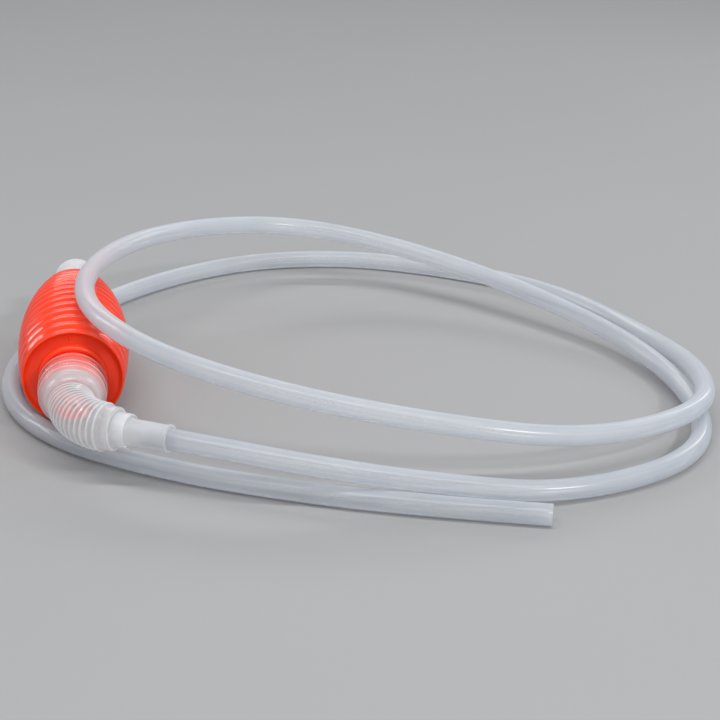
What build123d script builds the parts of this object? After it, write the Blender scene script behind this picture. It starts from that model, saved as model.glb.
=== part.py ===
from build123d import *
import math
import os

# Squeeze-bulb siphon: ribbed hand bulb, flexible elbow, hose socket and a long loose hose.
# Millimetres, +Z up. Origin: centre of the footprint of the bulb and its fittings, on the surface they
# lie on. The bulb's axis runs along +Y, from the outlet end (-Y) to the intake end (+Y).

# ---- where the bulb lies -------------------------------------------------------------------------
AXIS_X = -10.0           # the bulb's axis in plan
AXIS_Z = 28.0            # its height: the barrel's widest rib rests on the surface
SHOULDER_Y = -30.0       # the outlet shoulder's rim; stations below are measured from it along +Y

# ---- squeeze bulb --------------------------------------------------------------------------------
BARREL_R = 28.0          # widest rib
RIM_R = 25.0             # the outlet shoulder's rim
WIDEST_AT = 42.0         # station of the widest rib
NEAR_BOW_R = 295.0       # bow of the barrel towards the outlet
FAR_BOW_R = 221.0        # bow of the barrel towards the intake
RIBS = 13
RIB_START = 4.0
RIB_PITCH = 7.75
RIB_DEPTH = 0.9
BULB_WALL = 1.3
RIM_WIDTH = 1.2
RECESS = 2.0             # the outlet shoulder is dished in behind its rim
PIP_R = 0.8              # moulding pip on that shoulder
PIP_AT = 20.5            # its height over the bulb's axis
COLLAR_AT = 0.9          # rounded collar at the outlet neck's root
COLLAR_R = 15.6
COLLAR_SECTION_R = 1.7
OUT_LIP_R = 12.0         # the outlet valve rests against this lip inside
DOME_MID = (109.4, 15.4)     # the barrel rounds in over this point to its intake neck
CHAMBER_MID = (107.5, 13.8)  # the same, inside
DOME_END = 111.0
DOME_FOOT = 1.0          # ledge where the dome meets the neck

# ---- necks, beads and the push-on cuffs that turn on them ----------------------------------------
OUT_NECK_R = 14.4
OUT_NECK_END = -20.4
OUT_BEADS = (-7.5, -15.0)
IN_NECK_R = 9.8
IN_NECK_END = 121.0
IN_BEADS = (114.5, 118.5)
BEAD_R = 1.0             # section radius of a bead
BEAD_SUNK = 0.3          # how deep the bead's centre lies in the neck
SWIVEL_GAP = 0.15        # running gap between a neck and its cuff
CUFF_WALL = 1.25
CUFF_BEAD_R = 1.5
CUFF_BEAD_SUNK = 0.6

# ---- flexible elbow ------------------------------------------------------------------------------
CUFF_START = -5.8
CUFF_RING = (-20.6, 0.8)     # thin ring near the cuff's end, and its section radius
CUFF_END = -21.8
THROAT = ((-23.2, 14.9), (-24.2, 13.7), (-26.6, 12.9))   # the cuff narrows to the bend over these
THROAT_BORE = ((-24.2, 12.0), (-26.6, 11.2))
ELBOW_START = -29.0      # station where the corrugated bend begins
BEND_R = 33.0
BEND_DEG = 60.0
TUBE_R = 10.6
TUBE_BORE_R = 9.4
RING_R = 11.6
RING_WIDTH = 1.3
RINGS = 13
STEP_R = (10.4, 8.3)     # the spout steps down twice
STEP_LENGTH = (5.0, 7.0)
STEP_BORE_R = (9.4, 7.0)
STEP_WALL = 1.2

# ---- hose socket ---------------------------------------------------------------------------------
SOCKET_R = 6.3
SOCKET_LENGTH = 20.4
SOCKET_RIM_R = 6.8
SOCKET_RIM = 1.4
SOCKET_EDGE = 0.4        # rounding of its rim
HOSE_DEPTH = 14.0        # how far the hose is pushed in
PASSAGE_R = 3.6

# ---- hose ----------------------------------------------------------------------------------------
HOSE_R = 5.0
HOSE_BORE_R = 4.0
HOSE_LEAD = 22.0         # first corner of the route, past the socket's mouth
TANGENT_SHARE = 0.45     # each arc's tangent length, as a share of its shorter run
# The hose lies in two loose loops: off the socket, right round on the surface, back up over the bulb,
# round again over its own first loop, under the bulb's two ends and out to its free end.
ROUTE = [
    (98, -127, 21), (150, -131, 12), (211, -141, 5), (278, -119, 5), (303, -70, 5), (295, 3, 9),
    (248, 67, 20), (188, 121, 30), (124, 145, 41), (62, 124, 51), (12, 70, 62), (-8, 2, 64),
    (18, -59, 59), (77, -100, 48), (152, -120, 35), (227, -121, 21), (294, -89, 19), (310, -44, 17.5),
    (305, 31, 5), (271, 107, 5), (213, 154, 5), (148, 184, 5), (80, 182, 5), (17, 145, 5),
    (-30, 86, 5), (-49, 18, 5), (-28, -43, 5), (32, -90, 5), (95, -122, 5), (151, -143, 5),
    (200, -158, 5),
]

# ---- check valves --------------------------------------------------------------------------------
# Each valve sits inside a neck: a seat with a port, a ball on it, and a cage that keeps the ball.
FLANGE = 1.2             # inlet seat's flange, on the neck's end
SEAT_FIT = 0.1           # gap round a seat in its neck
BALL_GAP = 0.12          # gap between a ball and its port's edge at rest
STOP_GAP = 0.3           # gap between a fully lifted ball and its cage's end
CAGE_WALL = 1.4
CAGE_END = 1.2
CAGE_WINDOWS = 4
WINDOW_WIDTH = 4.0
WINDOW_MARGIN = 1.5      # cage left whole at each end of a window
SEAL = 1.2
SEAL_FIT = 0.1

OUT_BALL_R = 5.0
OUT_BALL_ROOM = 1.2      # room round the ball in its cage
OUT_PORT_R = 3.8
OUT_TRAVEL = 3.0
OUT_STOP_HOLE_R = 3.4    # hole in the cage's end
OUT_SEAT_BACK = 1.9      # the outlet seat is a cup: its floor is the seat
OUT_PORT_EDGE = 0.9
OUT_SEAT_FACE = -0.5
OUT_CUP_END = -12.2
OUT_CUP_WALL = 1.3
DISC_FIT = 0.05          # gap round the cage's disc in the cup's mouth
DISC_HOLES = 8
DISC_HOLE_R = 1.4
DISC_CIRCLE_R = 9.2

IN_BALL_R = 4.5
IN_BALL_ROOM = 0.9
IN_PORT_R = 3.4
IN_TRAVEL = 2.5
IN_STOP_HOLE_R = 3.0
IN_PORT_EDGE = 116.6     # the inlet seat is a plug, and its ball lies past it inside the bulb
IN_SEAT_FACE = 115.0

# ---- intake fitting ------------------------------------------------------------------------------
IN_CUFF_START = 111.6
IN_CUFF_END = 139.5
IN_CUFF_R = 11.3
IN_CUFF_BEAD_R = 1.1
IN_SOCKET_R = 9.0        # push-in socket for an intake tube
IN_SHOULDER = 1.8
IN_PORT_SHOULDER_R = 7.2
STRAINER = 1.6
STRAINER_R = 8.2         # the strainer's pocket in the bottom of the socket
STRAINER_GAP = 0.05
STRAINER_HOLE_R = 0.9
STRAINER_ROWS = ((3.2, 6), (6.3, 12))    # circle radius and number of holes

BULB_PLANE = Plane(origin=(AXIS_X, SHOULDER_Y, AXIS_Z), x_dir=(0, 1, 0), z_dir=(1, 0, 0))
BULB_AXIS = Axis((AXIS_X, SHOULDER_Y, AXIS_Z), (0, 1, 0))


def barrel_radius(station):
    """Outline of the barrel over its ribs: two bows that meet at the widest rib."""
    bow = NEAR_BOW_R if station < WIDEST_AT else FAR_BOW_R
    return BARREL_R - bow + math.sqrt(bow**2 - (station - WIDEST_AT) ** 2)


def across(station):
    """Plane square to the bulb's axis at a station, its normal along +Y."""
    return Plane(origin=(AXIS_X, SHOULDER_Y + station, AXIS_Z), x_dir=(1, 0, 0), z_dir=(0, 1, 0))


def turned(points, mode=Mode.ADD):
    """Turn a closed outline of (station, radius) points about the bulb's axis."""
    with BuildSketch(BULB_PLANE) as outline:
        with BuildLine():
            Polyline(*points, close=True)
        make_face()
    revolve(outline.sketch, axis=BULB_AXIS, mode=mode)


def hoops(stations, radius, section_r, mode=Mode.ADD):
    """Round hoops about the bulb's axis: beads on a neck, or grooves in a cuff."""
    with BuildSketch(BULB_PLANE) as section:
        with Locations(*[(station, radius) for station in stations]):
            Circle(section_r)
    revolve(section.sketch, axis=BULB_AXIS, mode=mode)


def write(builder, name):
    builder.part.label = name
    export_step(builder.part, f"parts/{name}.step")


os.makedirs("parts", exist_ok=True)

# ---- squeeze bulb: one blow moulding, ribbed barrel between two beaded necks -----------------------
rib_ends = [RIB_START + i * RIB_PITCH for i in range(RIBS + 1)]
last = rib_ends[-1]
with BuildPart() as squeeze_bulb:
    with BuildSketch(BULB_PLANE) as bulb_outline:
        with BuildLine():
            Polyline(
                (OUT_NECK_END, 0),
                (OUT_NECK_END, OUT_NECK_R),
                (RECESS, OUT_NECK_R),
                (RECESS, RIM_R - RIM_WIDTH),
                (0, RIM_R - RIM_WIDTH),
                (0, RIM_R),
                (RIB_START, barrel_radius(RIB_START) - RIB_DEPTH),
            )
            for start, end in zip(rib_ends, rib_ends[1:]):
                middle = (start + end) / 2
                ThreePointArc(
                    (start, barrel_radius(start) - RIB_DEPTH),
                    (middle, barrel_radius(middle)),
                    (end, barrel_radius(end) - RIB_DEPTH),
                )
            ThreePointArc(
                (last, barrel_radius(last) - RIB_DEPTH),
                DOME_MID,
                (DOME_END, IN_NECK_R + DOME_FOOT),
            )
            Polyline(
                (DOME_END, IN_NECK_R + DOME_FOOT),
                (DOME_END, IN_NECK_R),
                (IN_NECK_END, IN_NECK_R),
                (IN_NECK_END, 0),
                (OUT_NECK_END, 0),
            )
        make_face()
    revolve(axis=BULB_AXIS)
    hoops(OUT_BEADS, OUT_NECK_R - BEAD_SUNK, BEAD_R)
    hoops(IN_BEADS, IN_NECK_R - BEAD_SUNK, BEAD_R)
    hoops([COLLAR_AT], COLLAR_R, COLLAR_SECTION_R)
    with Locations((AXIS_X, SHOULDER_Y + RECESS, AXIS_Z + PIP_AT)):
        Sphere(PIP_R)
    # hollow inside: bored necks and a smooth chamber that follows the barrel
    chamber_r = BULB_WALL + RIB_DEPTH
    chamber_start = RECESS + BULB_WALL
    with BuildSketch(BULB_PLANE) as chamber:
        with BuildLine():
            Polyline(
                (OUT_NECK_END, 0),
                (OUT_NECK_END, OUT_NECK_R - BULB_WALL),
                (RECESS, OUT_NECK_R - BULB_WALL),
                (RECESS, OUT_LIP_R),
                (chamber_start, OUT_LIP_R),
                (chamber_start, barrel_radius(chamber_start) - chamber_r),
            )
            ThreePointArc(
                (chamber_start, barrel_radius(chamber_start) - chamber_r),
                (WIDEST_AT / 2, barrel_radius(WIDEST_AT / 2) - chamber_r),
                (WIDEST_AT, BARREL_R - chamber_r),
            )
            ThreePointArc(
                (WIDEST_AT, BARREL_R - chamber_r),
                ((WIDEST_AT + last) / 2, barrel_radius((WIDEST_AT + last) / 2) - chamber_r),
                (last, barrel_radius(last) - chamber_r),
            )
            ThreePointArc(
                (last, barrel_radius(last) - chamber_r),
                CHAMBER_MID,
                (DOME_END - BULB_WALL, IN_NECK_R - BULB_WALL),
            )
            Polyline(
                (DOME_END - BULB_WALL, IN_NECK_R - BULB_WALL),
                (IN_NECK_END, IN_NECK_R - BULB_WALL),
                (IN_NECK_END, 0),
                (OUT_NECK_END, 0),
            )
        make_face()
    revolve(axis=BULB_AXIS, mode=Mode.SUBTRACT)
write(squeeze_bulb, "squeeze_bulb")

# ---- flexible elbow: push-on cuff, cone, corrugated bend and a spout that steps down ----------------
cuff_bore_r = OUT_NECK_R + SWIVEL_GAP
cuff_r = cuff_bore_r + CUFF_WALL
seal_end = OUT_NECK_END - SEAL - SWIVEL_GAP
bend_start = Vector(AXIS_X, SHOULDER_Y + ELBOW_START, AXIS_Z)
bend_centre = bend_start + Vector(BEND_R, 0, 0)
bend_axis = Axis(tuple(bend_centre), (0, 0, 1))
spout_angle = math.radians(BEND_DEG - 90)
spout_dir = Vector(math.cos(spout_angle), math.sin(spout_angle), 0)
spout_start = bend_centre + Vector(
    -BEND_R * math.cos(math.radians(BEND_DEG)), -BEND_R * math.sin(math.radians(BEND_DEG)), 0
)


def along_bend(degrees):
    """Plane square to the bend's centre line, its normal pointing towards the spout."""
    angle = math.radians(degrees)
    point = bend_centre + Vector(-BEND_R * math.cos(angle), -BEND_R * math.sin(angle), 0)
    return Plane(origin=point, x_dir=(0, 0, 1), z_dir=(math.sin(angle), -math.cos(angle), 0))


def along_spout(distance):
    """Plane square to the spout, its normal pointing out towards the hose."""
    return Plane(origin=spout_start + spout_dir * distance, x_dir=(0, 0, 1), z_dir=spout_dir)


with BuildPart() as flexible_elbow:
    turned(
        [
            (CUFF_START, 0),
            (CUFF_START, cuff_r),
            (CUFF_END, cuff_r),
            *THROAT,
            (ELBOW_START, TUBE_R),
            (ELBOW_START, 0),
        ]
    )
    hoops(OUT_BEADS, cuff_r - CUFF_BEAD_SUNK, CUFF_BEAD_R)
    hoops(CUFF_RING[:1], cuff_r - CUFF_RING[1] / 2, CUFF_RING[1])
    with BuildSketch(along_bend(0)) as bend_section:
        Circle(TUBE_R)
    revolve(axis=bend_axis, revolution_arc=BEND_DEG)
    for i in range(RINGS):
        with BuildSketch(along_bend((i + 0.5) * BEND_DEG / RINGS).offset(-RING_WIDTH / 2)):
            Circle(RING_R)
        extrude(amount=RING_WIDTH)
    with BuildSketch(along_spout(0)):
        Circle(STEP_R[0])
    extrude(amount=STEP_LENGTH[0])
    with BuildSketch(along_spout(STEP_LENGTH[0])):
        Circle(STEP_R[1])
    extrude(amount=STEP_LENGTH[1])
    # water way: neck bore with grooves for the beads, a shoulder for the seal, then the bend's bore
    turned(
        [
            (CUFF_START, 0),
            (CUFF_START, cuff_bore_r),
            (seal_end, cuff_bore_r),
            (seal_end, THROAT_BORE[0][1]),
            *THROAT_BORE,
            (ELBOW_START, TUBE_BORE_R),
            (ELBOW_START, 0),
        ],
        mode=Mode.SUBTRACT,
    )
    hoops(OUT_BEADS, OUT_NECK_R - BEAD_SUNK, BEAD_R + SWIVEL_GAP, mode=Mode.SUBTRACT)
    with BuildSketch(along_bend(0)):
        Circle(TUBE_BORE_R)
    revolve(axis=bend_axis, revolution_arc=BEND_DEG, mode=Mode.SUBTRACT)
    with BuildSketch(along_spout(0)):
        Circle(STEP_BORE_R[0])
    extrude(amount=STEP_LENGTH[0] - STEP_WALL, mode=Mode.SUBTRACT)
    with BuildSketch(along_spout(0)):
        Circle(STEP_BORE_R[1])
    extrude(amount=sum(STEP_LENGTH), mode=Mode.SUBTRACT)
write(flexible_elbow, "flexible_elbow")

# ---- hose socket: plugged into the spout, with the hose pushed into its mouth -----------------------
socket_start = sum(STEP_LENGTH)
socket_mouth = socket_start + SOCKET_LENGTH
with BuildPart() as hose_socket:
    with BuildSketch(along_spout(socket_start - STEP_LENGTH[1])):
        Circle(STEP_BORE_R[1])
    extrude(amount=STEP_LENGTH[1])
    with BuildSketch(along_spout(socket_start)):
        Circle(SOCKET_R)
    extrude(amount=SOCKET_LENGTH)
    with BuildSketch(along_spout(socket_mouth - SOCKET_RIM)):
        Circle(SOCKET_RIM_R)
    extrude(amount=SOCKET_RIM)
    fillet(hose_socket.edges().filter_by(GeomType.CIRCLE).group_by(SortBy.RADIUS)[1], radius=SOCKET_EDGE)
    with BuildSketch(along_spout(socket_start - STEP_LENGTH[1])):
        Circle(PASSAGE_R)
    extrude(amount=socket_mouth, mode=Mode.SUBTRACT)
    with BuildSketch(along_spout(socket_mouth - HOSE_DEPTH)):
        Circle(HOSE_R)
    extrude(amount=HOSE_DEPTH, mode=Mode.SUBTRACT)
write(hose_socket, "hose_socket")

# ---- hose: one length, from the socket's stop to its cut free end ------------------------------------
hose_start = spout_start + spout_dir * (socket_mouth - HOSE_DEPTH)
first_corner = spout_start + spout_dir * (socket_mouth + HOSE_LEAD)
route = [hose_start, first_corner] + [Vector(*point) for point in ROUTE]
runs = [(b - a).length for a, b in zip(route, route[1:])]
turns = [(b - a).get_angle(c - b) for a, b, c in zip(route, route[1:], route[2:])]
radii = [
    TANGENT_SHARE * min(before, after) / math.tan(math.radians(turn / 2))
    for before, after, turn in zip(runs, runs[1:], turns)
]
print("hose radii:", ", ".join(f"{radius:.0f}" for radius in radii))
with BuildPart() as hose:
    with BuildLine() as hose_line:
        FilletPolyline(*route, radius=radii)
    with BuildSketch(Plane(origin=hose_start, x_dir=(0, 0, 1), z_dir=spout_dir)):
        Circle(HOSE_R)
        Circle(HOSE_BORE_R, mode=Mode.SUBTRACT)
    sweep(path=hose_line.wire())
hose_length = hose_line.wire().length
hose_section = math.pi * (HOSE_R**2 - HOSE_BORE_R**2)
print(f"hose length {hose_length:.1f}, volume / (section x length) "
      f"{hose.part.volume / (hose_section * hose_length):.4f}")
write(hose, "hose")


# ---- check valves --------------------------------------------------------------------------------
def seat_port(back, edge, face, port_r):
    """Bore from a seat's back to its port's edge, opening in a cone from there to the ball's side."""
    cone_r = port_r + abs(face - edge)
    turned([(back, 0), (back, port_r), (edge, port_r), (face, cone_r), (face, 0)], mode=Mode.SUBTRACT)


def ball_rest(edge, ball_r, port_r):
    """Station of a ball's centre at rest, just off its port's edge on the outlet side."""
    return edge - math.sqrt(ball_r**2 - port_r**2) - BALL_GAP


def valve_cage(start, end, bore_r, stop_hole_r):
    """Cage: a short sleeve with side windows and a holed end that stops the ball."""
    outer_r = bore_r + CAGE_WALL
    stop = end + CAGE_END
    turned([(start, 0), (start, outer_r), (end, outer_r), (end, 0)])
    turned([(start, 0), (start, bore_r), (stop, bore_r), (stop, 0)], mode=Mode.SUBTRACT)
    turned([(stop, 0), (stop, stop_hole_r), (end, stop_hole_r), (end, 0)], mode=Mode.SUBTRACT)
    with Locations(across((start + stop) / 2)):
        with PolarLocations(bore_r + CAGE_WALL / 2, CAGE_WINDOWS):
            Box(3 * CAGE_WALL, WINDOW_WIDTH, start - stop - 2 * WINDOW_MARGIN, mode=Mode.SUBTRACT)


cup_r = OUT_NECK_R - BULB_WALL - SEAT_FIT
cup_bore_r = cup_r - OUT_CUP_WALL
with BuildPart() as outlet_valve_seat:
    turned([(OUT_SEAT_BACK, 0), (OUT_SEAT_BACK, cup_r), (OUT_CUP_END, cup_r), (OUT_CUP_END, 0)])
    turned([(OUT_SEAT_FACE, 0), (OUT_SEAT_FACE, cup_bore_r), (OUT_CUP_END, cup_bore_r),
            (OUT_CUP_END, 0)], mode=Mode.SUBTRACT)
    seat_port(OUT_SEAT_BACK, OUT_PORT_EDGE, OUT_SEAT_FACE, OUT_PORT_R)
write(outlet_valve_seat, "outlet_valve_seat")

out_ball_at = ball_rest(OUT_PORT_EDGE, OUT_BALL_R, OUT_PORT_R)
with BuildPart(across(out_ball_at)) as outlet_valve_ball:
    Sphere(OUT_BALL_R)
write(outlet_valve_ball, "outlet_valve_ball")

# its cage ends in a disc that closes the cup's mouth, with a ring of water holes
out_cage_end = out_ball_at - OUT_TRAVEL - OUT_BALL_R - STOP_GAP - CAGE_END
out_cage_bore_r = OUT_BALL_R + OUT_BALL_ROOM
disc_back = out_cage_end + CAGE_END
disc_r = cup_bore_r - DISC_FIT
with BuildPart() as outlet_valve_cage:
    valve_cage(OUT_SEAT_FACE, out_cage_end, out_cage_bore_r, OUT_STOP_HOLE_R)
    turned([(out_cage_end, out_cage_bore_r), (out_cage_end, disc_r), (disc_back, disc_r),
            (disc_back, out_cage_bore_r)])
    with Locations(across((out_cage_end + disc_back) / 2)):
        with PolarLocations(DISC_CIRCLE_R, DISC_HOLES):
            Cylinder(DISC_HOLE_R, CAGE_END, mode=Mode.SUBTRACT)
write(outlet_valve_cage, "outlet_valve_cage")

with BuildPart() as outlet_seal:
    seal_bore_r, seal_r = THROAT_BORE[0][1], OUT_NECK_R - SEAL_FIT
    turned([(OUT_NECK_END, seal_bore_r), (OUT_NECK_END, seal_r), (OUT_NECK_END - SEAL, seal_r),
            (OUT_NECK_END - SEAL, seal_bore_r)])
write(outlet_seal, "outlet_seal")

in_flange = IN_NECK_END + FLANGE
plug_r = IN_NECK_R - BULB_WALL - SEAT_FIT
with BuildPart() as inlet_valve_seat:
    turned([(IN_SEAT_FACE, 0), (IN_SEAT_FACE, plug_r), (IN_NECK_END, plug_r),
            (IN_NECK_END, IN_NECK_R), (in_flange, IN_NECK_R), (in_flange, 0)])
    seat_port(in_flange, IN_PORT_EDGE, IN_SEAT_FACE, IN_PORT_R)
write(inlet_valve_seat, "inlet_valve_seat")

in_ball_at = ball_rest(IN_PORT_EDGE, IN_BALL_R, IN_PORT_R)
with BuildPart(across(in_ball_at)) as inlet_valve_ball:
    Sphere(IN_BALL_R)
write(inlet_valve_ball, "inlet_valve_ball")

in_cage_end = in_ball_at - IN_TRAVEL - IN_BALL_R - STOP_GAP - CAGE_END
with BuildPart() as inlet_valve_cage:
    valve_cage(IN_SEAT_FACE, in_cage_end, IN_BALL_R + IN_BALL_ROOM, IN_STOP_HOLE_R)
write(inlet_valve_cage, "inlet_valve_cage")

with BuildPart() as inlet_seal:
    turned([(in_flange, IN_PORT_SHOULDER_R), (in_flange, IN_NECK_R - SEAL_FIT),
            (in_flange + SEAL, IN_NECK_R - SEAL_FIT), (in_flange + SEAL, IN_PORT_SHOULDER_R)])
write(inlet_seal, "inlet_seal")

# ---- intake fitting: push-on cuff with a socket for an intake tube ----------------------------------
in_shoulder = in_flange + SEAL + SWIVEL_GAP
strainer_face = in_shoulder + IN_SHOULDER
socket_floor = strainer_face + STRAINER
with BuildPart() as inlet_fitting:
    turned([(IN_CUFF_START, 0), (IN_CUFF_START, IN_CUFF_R), (IN_CUFF_END, IN_CUFF_R),
            (IN_CUFF_END, 0)])
    hoops(IN_BEADS + (IN_CUFF_END - IN_CUFF_BEAD_R,), IN_CUFF_R - CUFF_BEAD_SUNK, IN_CUFF_BEAD_R)
    turned([(IN_CUFF_START, 0), (IN_CUFF_START, IN_NECK_R + SWIVEL_GAP),
            (in_shoulder, IN_NECK_R + SWIVEL_GAP), (in_shoulder, 0)], mode=Mode.SUBTRACT)
    hoops(IN_BEADS, IN_NECK_R - BEAD_SUNK, BEAD_R + SWIVEL_GAP, mode=Mode.SUBTRACT)
    turned([(in_shoulder, 0), (in_shoulder, IN_PORT_SHOULDER_R), (strainer_face, IN_PORT_SHOULDER_R),
            (strainer_face, 0)], mode=Mode.SUBTRACT)
    turned([(strainer_face, 0), (strainer_face, STRAINER_R), (socket_floor, STRAINER_R),
            (socket_floor, IN_SOCKET_R), (IN_CUFF_END, IN_SOCKET_R), (IN_CUFF_END, 0)],
           mode=Mode.SUBTRACT)
write(inlet_fitting, "inlet_fitting")

# ---- strainer: a holed disc at the bottom of the intake socket ---------------------------------------
with BuildPart(across(strainer_face)) as inlet_strainer:
    with Locations((0, 0, STRAINER / 2)):
        Cylinder(STRAINER_R - STRAINER_GAP, STRAINER)
        Cylinder(STRAINER_HOLE_R, STRAINER, mode=Mode.SUBTRACT)
        for circle_r, count in STRAINER_ROWS:
            with PolarLocations(circle_r, count):
                Cylinder(STRAINER_HOLE_R, STRAINER, mode=Mode.SUBTRACT)
write(inlet_strainer, "inlet_strainer")
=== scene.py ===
import math

import bmesh
import bpy
import numpy as np
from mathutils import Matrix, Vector


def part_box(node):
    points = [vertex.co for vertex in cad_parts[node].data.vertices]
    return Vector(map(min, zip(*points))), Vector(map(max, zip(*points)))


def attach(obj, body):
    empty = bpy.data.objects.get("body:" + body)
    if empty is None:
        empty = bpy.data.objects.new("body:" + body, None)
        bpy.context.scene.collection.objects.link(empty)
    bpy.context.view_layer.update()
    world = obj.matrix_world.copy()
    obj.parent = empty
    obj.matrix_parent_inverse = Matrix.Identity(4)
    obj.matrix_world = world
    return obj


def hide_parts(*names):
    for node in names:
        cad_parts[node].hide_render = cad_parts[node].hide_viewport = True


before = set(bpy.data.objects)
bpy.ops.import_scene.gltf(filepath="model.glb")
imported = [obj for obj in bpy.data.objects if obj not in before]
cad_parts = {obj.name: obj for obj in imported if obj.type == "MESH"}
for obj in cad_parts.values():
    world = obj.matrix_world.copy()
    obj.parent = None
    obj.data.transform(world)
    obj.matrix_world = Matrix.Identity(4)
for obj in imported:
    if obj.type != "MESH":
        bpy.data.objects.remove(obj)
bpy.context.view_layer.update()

# ---- sizes, in metres ----------------------------------------------------------------------------
# Stations run along the bulb's axis from the outlet shoulder's rim, towards the intake. Past the
# elbow's straight start they are distances along its bent centre line, counted the other way.

# squeeze bulb
OUT_NECK = 0.0204           # length of the outlet neck
OUT_NECK_R = 0.0144
OUT_BEADS = (-0.015, -0.0075)
OUT_BEADED = (-0.0194, -0.002)          # stretch of the neck that the beads lie in
OUT_LIP_R = 0.012           # lip inside, behind the outlet valve
COLLAR_AT = 0.0009          # rounded collar at the outlet neck's root
COLLAR_R = 0.0156
COLLAR_SECTION_R = 0.0017
IN_NECK_START = 0.111
IN_NECK_END = 0.121
IN_NECK_R = 0.0098
IN_BEADS = (0.1145, 0.1185)
IN_BEADED = (0.112, 0.1204)
BEAD_HEIGHT = 0.0007
BEAD_HALF = 0.0013
RIM_R = 0.025
RIM_WIDTH = 0.0012
RIM_FOOT = (0.0018, 0.02344)            # where the rim's inner side meets the dished shoulder
DISH = (0.0024, 0.0207)     # deepest ring of the dished shoulder
RECESS = 0.002              # depth of the shoulder at the neck, and of its moulding pip
WIDEST_AT = 0.042           # the barrel's two bows meet here
NEAR_BOW_R = 0.295
FAR_BOW_R = 0.221
RIBS = 13
RIB_START = 0.004
RIB_PITCH = 0.00775
RIB_DEPTH = 0.0009
FIRST_RIB_DROP = 0.7        # how far the barrel's edge sinks before the first rib, of a rib's depth
BULB_WALL = 0.0013
PIP_R = 0.0008
PIP_AT = 0.0205             # the pip's height over the bulb's axis
SWIVEL_GAP = 0.00015
FIT_GAP = 0.00005           # between pieces that are pushed together and stay

# flexible elbow
CUFF_START = 0.0058
CUFF_END = 0.0218
CUFF_R = 0.0158
CUFF_BEAD_HEIGHT = 0.0009
CUFF_BEAD_HALF = 0.0017
CUFF_RING = 0.0206          # thin ring near the cuff's end
CUFF_RING_REACH = (0.001, 0.0009)       # its stretch of the cuff, before and after it
CUFF_RING_GAP = 0.0012      # from the beaded stretch's end to the ring
CUFF_BORE_PLAIN = 0.001     # from the seat to the bore's beaded stretch
CUFF_SEAT = 0.02175         # where the cuff's bore steps in behind the seal
THROAT = ((0.0232, 0.0149), (0.0242, 0.0137), (0.0266, 0.0129))
THROAT_BORE_R = (0.012, 0.0112)
THROAT_END = 0.028
THROAT_MILK = 0.75          # how milky its wall is, as a share of a ring's
BEND_START = 0.029
BEND_R = 0.033
BEND_ANGLE = math.radians(60)
TUBE_R = 0.0106
RING_R = 0.0116
RINGS = 13
TUBE_WALL = 0.0009
STEP_LENGTH = (0.005, 0.007)
STEP_R = (0.0104, 0.0083)
STEP_BORE_R = (0.0094, 0.007)
STEP_WALL = 0.0012
STEP_RUN = (0.0006, 0.0004)     # run of the spout's first slope, outside and in the bore

# hose socket and hose
SOCKET_R = 0.0063
SOCKET_LENGTH = 0.0204
SOCKET_RIM_R = 0.0068
SOCKET_RIM = 0.0014
PASSAGE_R = 0.0036
HOSE_DEPTH = 0.014          # how far the hose is pushed in
HOSE_R = 0.005
HOSE_BORE_R = 0.004

# intake fitting
IN_CUFF_START = 0.1116
IN_CUFF_END = 0.1395
IN_CUFF_R = 0.0113
IN_CUFF_BORE_R = 0.00995
IN_CUFF_BEAD_HEIGHT = 0.0005
IN_CUFF_BEAD_HALF = 0.0015
IN_CUFF_PLAIN = (0.0012, 0.0026)        # plain lengths before and after the beads
IN_RIM = (0.0024, 0.0022)   # ring at the fitting's end: foot and top of its slope, from the end
IN_RIM_HEIGHT = 0.0005
IN_BORE_PLAIN = 0.001       # from the shoulder to the bore's beaded stretch
IN_SHOULDER_AT = 0.12355
IN_PORT_R = 0.0072
STRAINER_AT = 0.12535
STRAINER_POCKET_R = 0.0082
SOCKET_FLOOR = 0.12695
IN_SOCKET_R = 0.009

# cuts that round off an edge, from the crispest to the softest
CRISP = 0.0002
EDGE = 0.0003
LIP = 0.0004
RIM_CUT = 0.0005
EASED = 0.0006
END_CUT = 0.0007
FILLET = 0.0008
SWEPT = 0.001
DISH_FOOT_CUT = 0.0014
DISH_CUT = 0.002

bulb_low, bulb_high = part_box("squeeze_bulb")
AXIS_X = (bulb_low.x + bulb_high.x) / 2
AXIS_Z = (bulb_low.z + bulb_high.z) / 2
BARREL_R = (bulb_high.z - bulb_low.z) / 2
SHOULDER_Y = bulb_low.y + OUT_NECK

# ---- camera --------------------------------------------------------------------------------------
camera = bpy.data.objects.new("camera", bpy.data.cameras.new("camera"))
bpy.context.scene.collection.objects.link(camera)
camera.location = (0.0228, -0.7586, 0.355)
camera.rotation_euler = (math.radians(66.1), 0, math.radians(-8.58))
camera.data.lens = 80
camera.data.sensor_width = 36
bpy.context.scene.camera = camera


# ---- centre lines --------------------------------------------------------------------------------
UP = Vector((0, 0, 1))


def along_bulb(station):
    """Centre, side and up of the ring at a station of the bulb's axis."""
    return Vector((AXIS_X, SHOULDER_Y + station, AXIS_Z)), Vector((1, 0, 0)), UP


def along_elbow(distance):
    """The same for the elbow: straight off the bulb's neck, round the bend and straight again."""
    past = distance - BEND_START
    angle = min(max(past / BEND_R, 0), BEND_ANGLE)
    straight = past - angle * BEND_R
    heading = Vector((math.sin(angle), -math.cos(angle), 0))
    side = Vector((-math.cos(angle), -math.sin(angle), 0))
    bend_centre = Vector((AXIS_X + BEND_R, SHOULDER_Y - BEND_START, AXIS_Z))
    return bend_centre + side * BEND_R + heading * straight, side, UP


SPOUT_START = BEND_START + BEND_R * BEND_ANGLE
SOCKET_START = SPOUT_START + sum(STEP_LENGTH)
SOCKET_MOUTH = SOCKET_START + SOCKET_LENGTH


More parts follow.
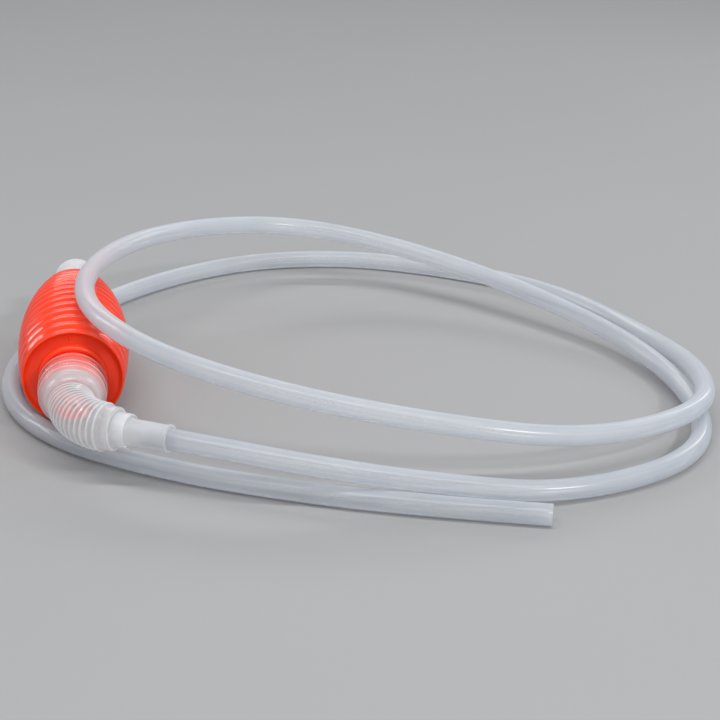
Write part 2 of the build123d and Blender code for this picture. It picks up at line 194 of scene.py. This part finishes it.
# ---- outlines and skins --------------------------------------------------------------------------
def softened(corners, steps=4):
    """Closed outline through (station, radius, cut) corners, each rounded off over its cut."""
    points = []
    for i, (station, radius, cut) in enumerate(corners):
        here = Vector((station, radius))
        if not cut:
            points.append(here)
            continue
        ends = []
        for other in (corners[i - 1], corners[(i + 1) % len(corners)]):
            to_other = Vector(other[:2]) - here
            ends.append(here + to_other.normalized() * min(cut, to_other.length / 2))
        for k in range(steps + 1):
            t = k / steps
            points.append(ends[0] * (1 - t) ** 2 + here * 2 * t * (1 - t) + ends[1] * t**2)
    return points


def beaded(start, end, radius, beads, height=BEAD_HEIGHT, half=BEAD_HALF, step=0.00022):
    """Corners from start to end at a radius, swelling into a smooth round bead at each place."""
    count = max(2, round(abs(end - start) / step))
    corners = []
    for i in range(count + 1):
        at = start + (end - start) * i / count
        swell = sum(
            0.5 + 0.5 * math.cos(math.pi * (at - bead) / half)
            for bead in beads if abs(at - bead) < half
        )
        corners.append((at, radius + height * swell, 0))
    return corners


def skin(name, outline, place, segments=128):
    """Closed skin swept round a centre line from a closed outline of (distance, radius) points."""
    turns = np.linspace(0, 2 * math.pi, segments, endpoint=False)
    rings = []
    for distance, radius in outline:
        centre, side, up = place(distance)
        circle = np.outer(np.cos(turns), side) + np.outer(np.sin(turns), up)
        rings.append(np.array(centre) + radius * circle)
    return sheathed(name, rings)


def sheathed(name, rings, inward=-0.2, sharp=math.radians(50)):
    """Mesh object through closed rings of points, the last ring joined to the first. Faces that
    look inwards, at their ring's centre, take the second material slot: those whose normal's share
    of the way out is under inward. Edges over the sharp angle stay sharp."""
    count, segments = len(rings), len(rings[0])
    faces = []
    for i in range(count):
        for j in range(segments):
            across, along = (j + 1) % segments, (i + 1) % count
            faces.append((
                i * segments + j, i * segments + across,
                along * segments + across, along * segments + j,
            ))
    mesh = bpy.data.meshes.new(name)
    mesh.from_pydata(np.concatenate(rings).tolist(), [], faces)
    work = bmesh.new()
    work.from_mesh(mesh)
    bmesh.ops.recalc_face_normals(work, faces=work.faces)
    centres = [Vector(ring.mean(axis=0)) for ring in rings]
    for i, face in enumerate(work.faces):
        outward = (face.calc_center_median() - centres[i // segments]).normalized()
        face.material_index = int(face.normal.dot(outward) < inward)
    work.to_mesh(mesh)
    work.free()
    mesh.shade_smooth()
    mesh.set_sharp_from_angle(angle=sharp)
    piece = bpy.data.objects.new(name, mesh)
    bpy.context.scene.collection.objects.link(piece)
    return piece


# ---- hose ----------------------------------------------------------------------------------------
HOSE_ROUTE = [
    (0.02243, -0.09678, 0.028), (0.05361, -0.11478, 0.028), (0.098, -0.127, 0.021),
    (0.150, -0.132, 0.011), (0.211, -0.141, 0.005), (0.278, -0.119, 0.005),
    (0.303, -0.070, 0.005), (0.295, 0.003, 0.009), (0.248, 0.067, 0.020),
    (0.188, 0.121, 0.030), (0.124, 0.145, 0.041), (0.062, 0.124, 0.051),
    (0.012, 0.070, 0.060), (-0.008, 0.002, 0.0613), (0.018, -0.059, 0.0575),
    (0.077, -0.100, 0.048), (0.152, -0.120, 0.035), (0.227, -0.121, 0.021),
    (0.294, -0.089, 0.016), (0.310, -0.044, 0.016), (0.305, 0.031, 0.005),
    (0.271, 0.107, 0.005), (0.213, 0.154, 0.005), (0.148, 0.184, 0.005),
    (0.080, 0.182, 0.005), (0.017, 0.145, 0.005), (-0.030, 0.086, 0.005),
    (-0.049, 0.018, 0.005), (-0.028, -0.043, 0.005), (0.032, -0.090, 0.005),
    (0.095, -0.122, 0.005), (0.151, -0.143, 0.005), (0.200, -0.158, 0.005),
]


def spline_points(route, steps):
    """Points along the NURBS spline that has the route as its control points."""
    curve = bpy.data.curves.new("hose_line", "CURVE")
    curve.dimensions = "3D"
    curve.resolution_u = steps
    spline = curve.splines.new("NURBS")
    spline.points.add(len(route) - 1)
    for point, place in zip(spline.points, route):
        point.co = (*place, 1)
    spline.order_u = 3
    spline.use_endpoint_u = True
    line = bpy.data.objects.new("hose_line", curve)
    bpy.context.scene.collection.objects.link(line)
    mesh = bpy.data.meshes.new_from_object(line)
    points = [vertex.co.copy() for vertex in mesh.vertices]
    bpy.data.objects.remove(line)
    bpy.data.meshes.remove(mesh)
    return points


def tube(name, line, outer_r, inner_r, segments=48, softness=0.25):
    """Hollow tube along a line of points, cut square at both ends. Its end edges are rounded off by
    softness of the wall. Each point keeps its turn and its distance along, for the material."""
    directions = [(b - a).normalized() for a, b in zip(line, line[1:])]
    tangents = [directions[0]]
    tangents += [(a + b).normalized() for a, b in zip(directions, directions[1:])]
    tangents.append(directions[-1])
    side = tangents[0].cross(UP).normalized()
    frames = []
    for point, tangent in zip(line, tangents):
        side = (side - tangent * side.dot(tangent)).normalized()
        frames.append((point, side, tangent.cross(side), tangent))
    soft = (outer_r - inner_r) * softness
    turns = np.linspace(0, 2 * math.pi, segments, endpoint=False)

    def ring(at, radius, inset=0.0):
        point, side, up, tangent = frames[at]
        circle = np.outer(np.cos(turns), side) + np.outer(np.sin(turns), up)
        return np.array(point + tangent * inset) + radius * circle

    last = len(line) - 1
    rings = [ring(0, inner_r + soft), ring(0, outer_r - soft), ring(0, outer_r, soft)]
    rings += [ring(i, outer_r) for i in range(1, last)]
    rings += [ring(last, outer_r, -soft), ring(last, outer_r - soft), ring(last, inner_r + soft)]
    rings.append(ring(last, inner_r, -soft))
    rings += [ring(i, inner_r) for i in range(last - 1, 0, -1)]
    rings.append(ring(0, inner_r, soft))
    piece = sheathed(name, rings)
    travelled = np.cumsum([0] + [(b - a).length for a, b in zip(line, line[1:])])
    outward = [0, 0, 0, *range(1, last), last, last, last, last]
    along = travelled[[*outward, *range(last - 1, 0, -1), 0]]
    around = np.stack([
        np.tile(np.cos(turns), len(rings)), np.tile(np.sin(turns), len(rings)),
        np.repeat(along, segments),
    ], axis=1)
    attribute = piece.data.attributes.new("around_and_along", "FLOAT_VECTOR", "POINT")
    attribute.data.foreach_set("vector", around.astype(np.float32).ravel())
    return piece


hose_line = spline_points(HOSE_ROUTE, steps=20)
hose = tube("loose_hose", hose_line, HOSE_R, HOSE_BORE_R)


# ---- squeeze bulb --------------------------------------------------------------------------------
def barrel_radius(station):
    """Barrel over its ribs: two bows that meet at the widest rib."""
    bow = NEAR_BOW_R if station < WIDEST_AT else FAR_BOW_R
    return BARREL_R - bow + math.sqrt(bow**2 - (station - WIDEST_AT) ** 2)


def rib_rise(phase, groove=0.25):
    """Height of a rib over its pitch, 0 to 1: a round back between narrower soft grooves."""
    wave = abs(math.sin(math.pi * phase))
    return (math.hypot(wave, groove) - groove) / (math.hypot(1, groove) - groove)


def ribbed(points_per_rib=18):
    corners = []
    for i in range(RIBS * points_per_rib + 1):
        phase = i / points_per_rib
        station = RIB_START + RIB_PITCH * phase
        corners.append((station, barrel_radius(station) - RIB_DEPTH * (1 - rib_rise(phase)), 0))
    return corners


RIBS_END = RIB_START + RIBS * RIB_PITCH
DOME_FOOT_R = IN_NECK_R + 0.001


def dome(start, end, start_r, end_r, steps=14):
    """A quarter of an ellipse that closes the barrel in on its intake neck."""
    return [
        (start + (end - start) * math.sin(t), end_r + (start_r - end_r) * math.cos(t), 0)
        for t in (math.pi / 2 * (i + 1) / steps for i in range(steps))
    ]


def collar(steps=14):
    """Arc over the rounded collar, from the outlet neck to the dished shoulder."""
    start = math.pi + math.asin((COLLAR_R - OUT_NECK_R) / COLLAR_SECTION_R)
    end = math.acos((RECESS - COLLAR_AT) / COLLAR_SECTION_R)
    angles = [start + (end - start) * i / steps for i in range(steps + 1)]
    return [
        (COLLAR_AT + COLLAR_SECTION_R * math.cos(t), COLLAR_R + COLLAR_SECTION_R * math.sin(t), 0)
        for t in angles
    ]


def bulb_outline(chamber_steps=40):
    corners = [(-OUT_NECK, OUT_NECK_R - BULB_WALL, EDGE), (-OUT_NECK, OUT_NECK_R, EDGE)]
    corners += beaded(*OUT_BEADED, OUT_NECK_R, OUT_BEADS)
    corners += collar()
    first_rib_r = barrel_radius(RIB_START / 2) - RIB_DEPTH * FIRST_RIB_DROP
    corners += [
        (*DISH, DISH_CUT),
        (*RIM_FOOT, DISH_FOOT_CUT),
        (0, RIM_R - RIM_WIDTH, RIM_CUT),
        (0, RIM_R, EASED),
        (RIB_START / 2, first_rib_r, SWEPT),
    ]
    corners += ribbed()
    corners += dome(RIBS_END, IN_NECK_START, barrel_radius(RIBS_END) - RIB_DEPTH, DOME_FOOT_R)
    corners.append((IN_NECK_START, IN_NECK_R, LIP))
    corners += beaded(*IN_BEADED, IN_NECK_R, IN_BEADS)
    corners += [(IN_NECK_END, IN_NECK_R, EDGE), (IN_NECK_END, IN_NECK_R - BULB_WALL, EDGE)]
    # back through the smooth chamber inside
    deep = BULB_WALL + RIB_DEPTH
    end_of_chamber = IN_NECK_START - BULB_WALL
    corners.append((end_of_chamber, IN_NECK_R - BULB_WALL, EASED))
    inner_dome = dome(RIBS_END, end_of_chamber, barrel_radius(RIBS_END) - deep,
                      DOME_FOOT_R - BULB_WALL)
    corners += reversed(inner_dome)
    start_of_chamber = RECESS + BULB_WALL
    for i in range(chamber_steps + 1):
        station = RIBS_END + (start_of_chamber - RIBS_END) * i / chamber_steps
        corners.append((station, barrel_radius(station) - deep, 0))
    corners += [
        (start_of_chamber, OUT_LIP_R, EDGE),
        (RECESS, OUT_LIP_R, EDGE),
        (RECESS, OUT_NECK_R - BULB_WALL, EDGE),
    ]
    return softened(corners)


bulb = skin("ribbed_bulb", bulb_outline(), along_bulb, segments=200)


def add_pip(piece):
    """A small round moulding pip on the dished outlet shoulder, high up."""
    work = bmesh.new()
    work.from_mesh(piece.data)
    made = bmesh.ops.create_icosphere(work, subdivisions=4, radius=PIP_R)
    centre = Vector((AXIS_X, SHOULDER_Y + RECESS, AXIS_Z + PIP_AT))
    for vertex in made["verts"]:
        vertex.co += centre
    for face in {face for vertex in made["verts"] for face in vertex.link_faces}:
        face.smooth = True
    work.to_mesh(piece.data)
    work.free()


add_pip(bulb)


# ---- flexible elbow ------------------------------------------------------------------------------
def corrugated(start, end, low_r, high_r, rings, points_per_ring=14, thinness=2.2):
    """Corners along a corrugated wall: thin round crests with broader valleys between them."""
    corners = []
    for i in range(rings * points_per_ring + 1):
        phase = i / points_per_ring
        crest = (0.5 - 0.5 * math.cos(2 * math.pi * phase)) ** thinness
        corners.append((start + (end - start) * phase / rings, low_r + (high_r - low_r) * crest, 0))
    return corners


def elbow_outline():
    beads = [-bead for bead in OUT_BEADS]
    bore = OUT_NECK_R + SWIVEL_GAP
    spout_mid = SPOUT_START + STEP_LENGTH[0]
    corners = [(CUFF_START, bore, LIP), (CUFF_START, CUFF_R, LIP)]
    corners += beaded(CUFF_START + LIP, CUFF_RING - CUFF_RING_GAP, CUFF_R, beads,
                      height=CUFF_BEAD_HEIGHT, half=CUFF_BEAD_HALF)
    corners += beaded(CUFF_RING - CUFF_RING_REACH[0], CUFF_RING + CUFF_RING_REACH[1], CUFF_R,
                      [CUFF_RING], height=CUFF_BEAD_HEIGHT / 2, half=CUFF_BEAD_HALF / 2)
    corners.append((CUFF_END, CUFF_R, LIP))
    corners += [(distance, radius, FILLET) for distance, radius in THROAT]
    corners += corrugated(BEND_START, SPOUT_START, TUBE_R, RING_R, RINGS)
    corners += [
        (SPOUT_START + STEP_RUN[0], STEP_R[0], LIP),
        (spout_mid, STEP_R[0], EASED),
        (spout_mid, STEP_R[1], EDGE),
        (SOCKET_START, STEP_R[1], EASED),
        (SOCKET_START, STEP_BORE_R[1], CRISP),
        (spout_mid - STEP_WALL, STEP_BORE_R[1], EDGE),
        (spout_mid - STEP_WALL, STEP_BORE_R[0], EASED),
        (SPOUT_START + STEP_RUN[1], STEP_BORE_R[0], LIP),
    ]
    corners += corrugated(SPOUT_START, BEND_START, TUBE_R - TUBE_WALL, RING_R - TUBE_WALL, RINGS)
    corners += [
        (THROAT[2][0], THROAT_BORE_R[1], FILLET),
        (THROAT[1][0], THROAT_BORE_R[0], FILLET),
        (CUFF_SEAT, THROAT_BORE_R[0], EDGE),
        (CUFF_SEAT, bore, EDGE),
    ]
    corners += beaded(CUFF_SEAT - CUFF_BORE_PLAIN, CUFF_START + LIP, bore, beads)
    return softened(corners)


def mark_crests(piece, outline, reach=0.0016, height=0.00045):
    """Keep on the piece how far each of its rings stands out over the wall around it, 0 to 1. The
    throat's wall, which thickens towards the bend, counts as part of a ring."""
    points = np.array([tuple(point) for point in outline])
    along = np.cumsum(np.append(0, np.hypot(*np.diff(points, axis=0).T)))
    near = np.abs(along[:, None] - along) < reach
    lift = points[:, 1] - (near * points[:, 1]).sum(axis=1) / near.sum(axis=1)
    crests = np.clip(lift / height, 0, 1)
    throat = (points[:, 0] > CUFF_END) & (points[:, 0] < THROAT_END)
    throat &= points[:, 1] > THROAT_BORE_R[0]
    thickness = np.interp(points[throat, 0], (CUFF_END, THROAT[2][0]), (0, THROAT_MILK))
    crests[throat] = np.maximum(crests[throat], thickness)
    attribute = piece.data.attributes.new("crest", "FLOAT", "POINT")
    segments = len(piece.data.vertices) // len(points)
    attribute.data.foreach_set("value", np.repeat(crests, segments).astype(np.float32))


elbow = skin("corrugated_elbow", elbow_outline(), along_elbow, segments=112)
mark_crests(elbow, elbow_outline())


# ---- hose socket ---------------------------------------------------------------------------------
def socket_outline():
    plug_end, plug_r = SPOUT_START + STEP_LENGTH[0], STEP_BORE_R[1] - FIT_GAP
    rim_start, slope = SOCKET_MOUTH - SOCKET_RIM, 0.0002
    hose_end, hose_bore = SOCKET_MOUTH - HOSE_DEPTH, HOSE_R + FIT_GAP
    return softened([
        (plug_end, PASSAGE_R, CRISP),
        (plug_end, plug_r, EDGE),
        (SOCKET_START, plug_r, CRISP),
        (SOCKET_START + slope, SOCKET_R, EDGE),
        (rim_start, SOCKET_R, EDGE),
        (rim_start + slope, SOCKET_RIM_R, RIM_CUT),
        (SOCKET_MOUTH, SOCKET_RIM_R, RIM_CUT),
        (SOCKET_MOUTH, hose_bore, EDGE),
        (hose_end, hose_bore, CRISP / 2),
        (hose_end, PASSAGE_R, CRISP),
    ])


socket = skin("push_in_socket", socket_outline(), along_elbow, segments=96)


# ---- intake fitting ------------------------------------------------------------------------------
def intake_outline():
    rim_r = IN_CUFF_R + IN_RIM_HEIGHT
    corners = [(IN_CUFF_START, IN_CUFF_BORE_R, LIP), (IN_CUFF_START, IN_CUFF_R, LIP)]
    corners += beaded(IN_CUFF_START + IN_CUFF_PLAIN[0], IN_CUFF_END - IN_CUFF_PLAIN[1], IN_CUFF_R,
                      IN_BEADS, height=IN_CUFF_BEAD_HEIGHT, half=IN_CUFF_BEAD_HALF)
    corners += [
        (IN_CUFF_END - IN_RIM[0], IN_CUFF_R, CRISP),
        (IN_CUFF_END - IN_RIM[1], rim_r, RIM_CUT),
        (IN_CUFF_END, rim_r, END_CUT),
        (IN_CUFF_END, IN_SOCKET_R, EASED),
        (SOCKET_FLOOR, IN_SOCKET_R, EDGE),
        (SOCKET_FLOOR, STRAINER_POCKET_R, CRISP),
        (STRAINER_AT, STRAINER_POCKET_R, CRISP),
        (STRAINER_AT, IN_PORT_R, CRISP),
        (IN_SHOULDER_AT, IN_PORT_R, CRISP),
        (IN_SHOULDER_AT, IN_CUFF_BORE_R, EDGE),
    ]
    corners += beaded(IN_SHOULDER_AT - IN_BORE_PLAIN, IN_CUFF_START + IN_CUFF_PLAIN[0],
                      IN_CUFF_BORE_R, IN_BEADS)
    return softened(corners)


intake = skin("intake_cuff", intake_outline(), along_bulb, segments=112)


# ---- materials -----------------------------------------------------------------------------------
def new_material(name):
    material = bpy.data.materials.new(name)
    material.use_nodes = True
    material.node_tree.nodes.clear()
    return material, material.node_tree


def add(tree, kind, inputs=(), **settings):
    """Node of a kind; inputs are sockets to link or values to set, by name or number."""
    node = tree.nodes.new(kind)
    for key, value in settings.items():
        setattr(node, key, value)
    for key, value in dict(inputs).items():
        if isinstance(value, bpy.types.NodeSocket):
            tree.links.new(value, node.inputs[key])
        else:
            node.inputs[key].default_value = value
    return node


def object_place(tree):
    return add(tree, "ShaderNodeTexCoord").outputs["Object"]


def noise(tree, place, scale, detail=3.0):
    """Noise value 0 to 1; scale is in features to the metre."""
    return add(tree, "ShaderNodeTexNoise", {"Vector": place, "Scale": scale, "Detail": detail}
               ).outputs["Fac"]


def between(tree, value, low, high, start=0.0, end=1.0):
    """Value carried from low..high to start..end, and held there outside."""
    return add(tree, "ShaderNodeMapRange", {
        "Value": value, "From Min": low, "From Max": high, "To Min": start, "To Max": end,
    }).outputs["Result"]


def spread(tree, cloud, start=0.0, end=1.0):
    """A noise value's usual reach, 0.3 to 0.7, carried to start..end."""
    return between(tree, cloud, 0.3, 0.7, start, end)


def tint(tree, value, dark, light):
    """Colour from dark to light by a value."""
    ramp = add(tree, "ShaderNodeValToRGB", {"Fac": value})
    ramp.color_ramp.elements[0].color = (*dark, 1)
    ramp.color_ramp.elements[1].color = (*light, 1)
    return ramp.outputs["Color"]


def maths(tree, operation, a, b=0.0):
    return add(tree, "ShaderNodeMath", {0: a, 1: b}, operation=operation).outputs["Value"]


def bump(tree, height, distance, strength=1.0):
    return add(tree, "ShaderNodeBump", {
        "Height": height, "Distance": distance, "Strength": strength,
    }).outputs["Normal"]


def finish_surface(tree, shader):
    out = add(tree, "ShaderNodeOutputMaterial")
    tree.links.new(shader, out.inputs["Surface"])


def red_plastic():
    """Glossy blow-moulded bulb: orange-red, with painted shade in the rib grooves and a painted
    highlight on the rib crests.
    """
    material, tree = new_material("red_plastic")
    place = object_place(tree)
    along = add(tree, "ShaderNodeSeparateXYZ", {"Vector": place}).outputs["Y"]
    phase = maths(tree, "DIVIDE", maths(tree, "SUBTRACT", along, SHOULDER_Y + RIB_START), RIB_PITCH)
    # groove runs from 0 in each rib's groove to 0.5 on its crest; the colour below follows it, as
    # painted shade in the grooves and a painted highlight on the crests
    groove = maths(tree, "PINGPONG", phase, 0.5)
    clouds = noise(tree, place, scale=45)
    blend = maths(tree, "ADD", between(tree, groove, 0, 0.5, 0, 0.55),
                  spread(tree, clouds, 0, 0.45))
    colour = tint(tree, blend, (0.77, 0.030, 0.006), (0.83, 0.050, 0.013))
    grain = noise(tree, place, scale=900, detail=4)
    waves = noise(tree, place, scale=260, detail=2)
    orange_peel = bump(tree, waves, distance=0.00006, strength=0.2)
    shader = add(tree, "ShaderNodeBsdfPrincipled", {
        "Base Color": colour,
        "Roughness": spread(tree, grain, 0.15, 0.19),
        "Normal": orange_peel,
        "IOR": 1.5,
        "Subsurface Weight": 0.18,
        "Subsurface Radius": (1.0, 0.22, 0.1),
        "Subsurface Scale": 0.003,
        "Specular IOR Level": 0.38,
    })
    finish_surface(tree, shader.outputs[0])
    return material


def milky_plastic(name, dark, light, opacity, roughness, gloss=0.6, peel=0.00003, drawn=False,
                  crests=0.0, fade=None):
    """Thin milky plastic: cloudy white that lets through what is behind it, less so where the wall
    is seen edge on. Opacity is (facing us, edge on). Drawn plastic carries faint lines along its
    length. Crests is how much milkier its rings are. With fade, (clear Y, milky Y, share), it is
    clearer where it lies close on another piece."""
    material, tree = new_material(name)
    place = object_place(tree)
    clouds = spread(tree, noise(tree, place, scale=40, detail=2))
    grain = noise(tree, place, scale=700)
    height = grain
    if drawn:
        lines = add(tree, "ShaderNodeAttribute", attribute_name="around_and_along")
        streaks = noise(tree, lines.outputs["Vector"], scale=4)
        clouds = maths(tree, "ADD", maths(tree, "MULTIPLY", clouds, 0.3),
                       spread(tree, streaks, 0, 0.7))
        height = maths(tree, "ADD", maths(tree, "MULTIPLY", grain, 0.1), streaks)
    facing = add(tree, "ShaderNodeLayerWeight", {"Blend": 0.35}).outputs["Facing"]
    colour = tint(tree, clouds, dark, light)
    normal = bump(tree, height, distance=peel, strength=0.25)
    front = add(tree, "ShaderNodeBsdfDiffuse", {"Color": colour, "Normal": normal})
    glow = add(tree, "ShaderNodeBsdfTranslucent", {"Color": colour, "Normal": normal})
    milk = add(tree, "ShaderNodeMixShader", {0: 0.5, 1: front.outputs[0], 2: glow.outputs[0]})
    clear = add(tree, "ShaderNodeBsdfTransparent")
    solid = maths(tree, "MULTIPLY", between(tree, facing, 0, 1, *opacity),
                  between(tree, clouds, 0, 1, 0.97, 1.03))
    if fade:
        along = add(tree, "ShaderNodeSeparateXYZ", {"Vector": place}).outputs["Y"]
        solid = maths(tree, "MULTIPLY", solid, between(tree, along, fade[1], fade[0], 1, fade[2]))
    if crests:
        crest = add(tree, "ShaderNodeAttribute", attribute_name="crest").outputs["Fac"]
        solid = maths(tree, "ADD", solid, maths(tree, "MULTIPLY", crest, crests))
    wall = add(tree, "ShaderNodeMixShader", {0: solid, 1: clear.outputs[0], 2: milk.outputs[0]})
    shine = add(tree, "ShaderNodeBsdfGlossy", {
        "Roughness": spread(tree, grain, roughness * 0.85, roughness * 1.2),
        "Normal": normal,
    })
    fresnel = add(tree, "ShaderNodeFresnel", {"IOR": 1.45, "Normal": normal}).outputs["Fac"]
    mirror = between(tree, fresnel, 0, 1, 0, gloss)
    shader = add(tree, "ShaderNodeMixShader", {0: mirror, 1: wall.outputs[0], 2: shine.outputs[0]})
    finish_surface(tree, shader.outputs[0])
    return material


def moulded_plastic(name, dark, light, roughness):
    """Opaque natural plastic of the valve parts inside, with faint mould grain."""
    material, tree = new_material(name)
    place = object_place(tree)
    clouds = noise(tree, place, scale=120)
    grain = noise(tree, place, scale=1500)
    shader = add(tree, "ShaderNodeBsdfPrincipled", {
        "Base Color": tint(tree, clouds, dark, light),
        "Roughness": spread(tree, grain, roughness * 0.8, roughness * 1.2),
        "Normal": bump(tree, grain, distance=0.00005, strength=0.4),
        "Subsurface Weight": 0.1,
        "Subsurface Scale": 0.001,
    })
    finish_surface(tree, shader.outputs[0])
    return material


bulb_red = red_plastic()
HOSE_TINT = (0.70, 0.75, 0.83), (0.82, 0.85, 0.89)
WHITE = (0.91, 0.93, 0.96), (0.98, 0.98, 1.0)
CUFF_FADE = (SHOULDER_Y - CUFF_START, SHOULDER_Y - THROAT[1][0], 0.08)
hose_milk = milky_plastic("hose_milk", *HOSE_TINT, (0.28, 0.95), 0.2, peel=0.00001, drawn=True)
hose_bore = milky_plastic("hose_bore", *HOSE_TINT, (0.08, 0.5), 0.3, gloss=0.2)
elbow_milk = milky_plastic("elbow_milk", *WHITE, (0.27, 0.66), 0.14, crests=0.34, fade=CUFF_FADE)
elbow_bore = milky_plastic("elbow_bore", *WHITE, (0.05, 0.24), 0.25, gloss=0.2, fade=CUFF_FADE)
fitting_bore = milky_plastic("fitting_bore", *WHITE, (0.05, 0.24), 0.25, gloss=0.2)
intake_milk = milky_plastic("intake_milk", *WHITE, (0.5, 0.85), 0.25)
socket_milk = milky_plastic("socket_milk", *WHITE, (0.38, 0.85), 0.2)
seal_milk = milky_plastic("seal_milk", *WHITE, (0.3, 0.6), 0.3, gloss=0.3)
valve_white = moulded_plastic("valve_white", (0.80, 0.80, 0.77), (0.88, 0.88, 0.86), 0.4)
valve_red = moulded_plastic("valve_red", (0.74, 0.036, 0.010), (0.82, 0.050, 0.016), 0.3)
ball_white = moulded_plastic("ball_white", (0.86, 0.86, 0.83), (0.92, 0.92, 0.90), 0.2)


def dress(piece, outside, inside, body, node):
    """Give a piece its materials and the body that it rides on, and hide the CAD node that it
    stands for.
    """
    piece.data.materials.append(outside)
    piece.data.materials.append(inside)
    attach(piece, body)
    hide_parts(node)


dress(hose, hose_milk, hose_bore, "outlet_side", "hose")
dress(bulb, bulb_red, bulb_red, "bulb", "squeeze_bulb")
dress(elbow, elbow_milk, elbow_bore, "outlet_side", "flexible_elbow")
dress(socket, socket_milk, fitting_bore, "outlet_side", "hose_socket")
dress(intake, intake_milk, fitting_bore, "intake", "inlet_fitting")

CAD_FINISH = {
    "outlet_valve_seat": valve_red, "outlet_valve_cage": valve_red,
    "inlet_valve_seat": valve_white, "inlet_valve_cage": valve_white,
    "inlet_strainer": valve_white, "outlet_valve_ball": ball_white,
    "inlet_valve_ball": ball_white, "outlet_seal": seal_milk, "inlet_seal": seal_milk,
}
for name, finish in CAD_FINISH.items():
    for material_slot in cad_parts[name].material_slots:
        material_slot.link = "OBJECT"
        material_slot.material = finish


# ---- floor and light -----------------------------------------------------------------------------
def make_floor(reach=3.0, below=0.0002):
    """Plain pale floor, a little below the frame's ground so that nothing flickers against it."""
    mesh = bpy.data.meshes.new("floor")
    corners = [(x * reach, y * reach, -below) for x, y in ((-1, -1), (1, -1), (1, 1), (-1, 1))]
    mesh.from_pydata(corners, [], [(0, 1, 2, 3)])
    floor = bpy.data.objects.new("floor", mesh)
    bpy.context.scene.collection.objects.link(floor)
    material, tree = new_material("floor_paper")
    place = object_place(tree)
    shader = add(tree, "ShaderNodeBsdfPrincipled", {
        "Base Color": tint(tree, noise(tree, place, scale=3), (0.29, 0.29, 0.293),
                           (0.31, 0.31, 0.313)),
        "Roughness": 0.8,
        "Specular IOR Level": 0.2,
    })
    finish_surface(tree, shader.outputs[0])
    mesh.materials.append(material)


def softbox(name, place, aim, width, height, power):
    """Soft rectangular light at a place, turned to its aim."""
    data = bpy.data.lights.new(name, "AREA")
    data.shape = "RECTANGLE"
    data.size, data.size_y, data.energy = width, height, power
    lamp = bpy.data.objects.new(name, data)
    lamp.location = place
    lamp.rotation_euler = (Vector(aim) - Vector(place)).to_track_quat("-Z", "Y").to_euler()
    bpy.context.scene.collection.objects.link(lamp)


make_floor()
softbox("overhead", (0.0, -0.5, 1.5), (0.1, 0, 0), width=1.6, height=0.1, power=16)
softbox("key", (0.98, -1.26, 1.17), (0.2, -0.13, 0.01), width=0.36, height=0.1, power=14)
softbox("front", (-0.2, -2.4, 1.2), (0.05, 0, 0.02), width=3.0, height=1.5, power=18)
softbox("left", (-0.95, 0.5, 0.55), (0, 0, 0.03), width=0.08, height=0.6, power=2.5)
softbox("right", (0.95, 0.55, 0.6), (0.05, 0, 0.03), width=0.08, height=0.5, power=2)
softbox("back", (0.1, 1.5, 1.1), (0.1, 0, 0.03), width=1.6, height=0.3, power=8)

world = bpy.data.worlds.new("studio")
world.use_nodes = True
background = world.node_tree.nodes["Background"]
background.inputs["Color"].default_value = (0.9, 0.92, 0.95, 1)
background.inputs["Strength"].default_value = 0.42
bpy.context.scene.world = world
bpy.context.scene.view_settings.view_transform = "Standard"
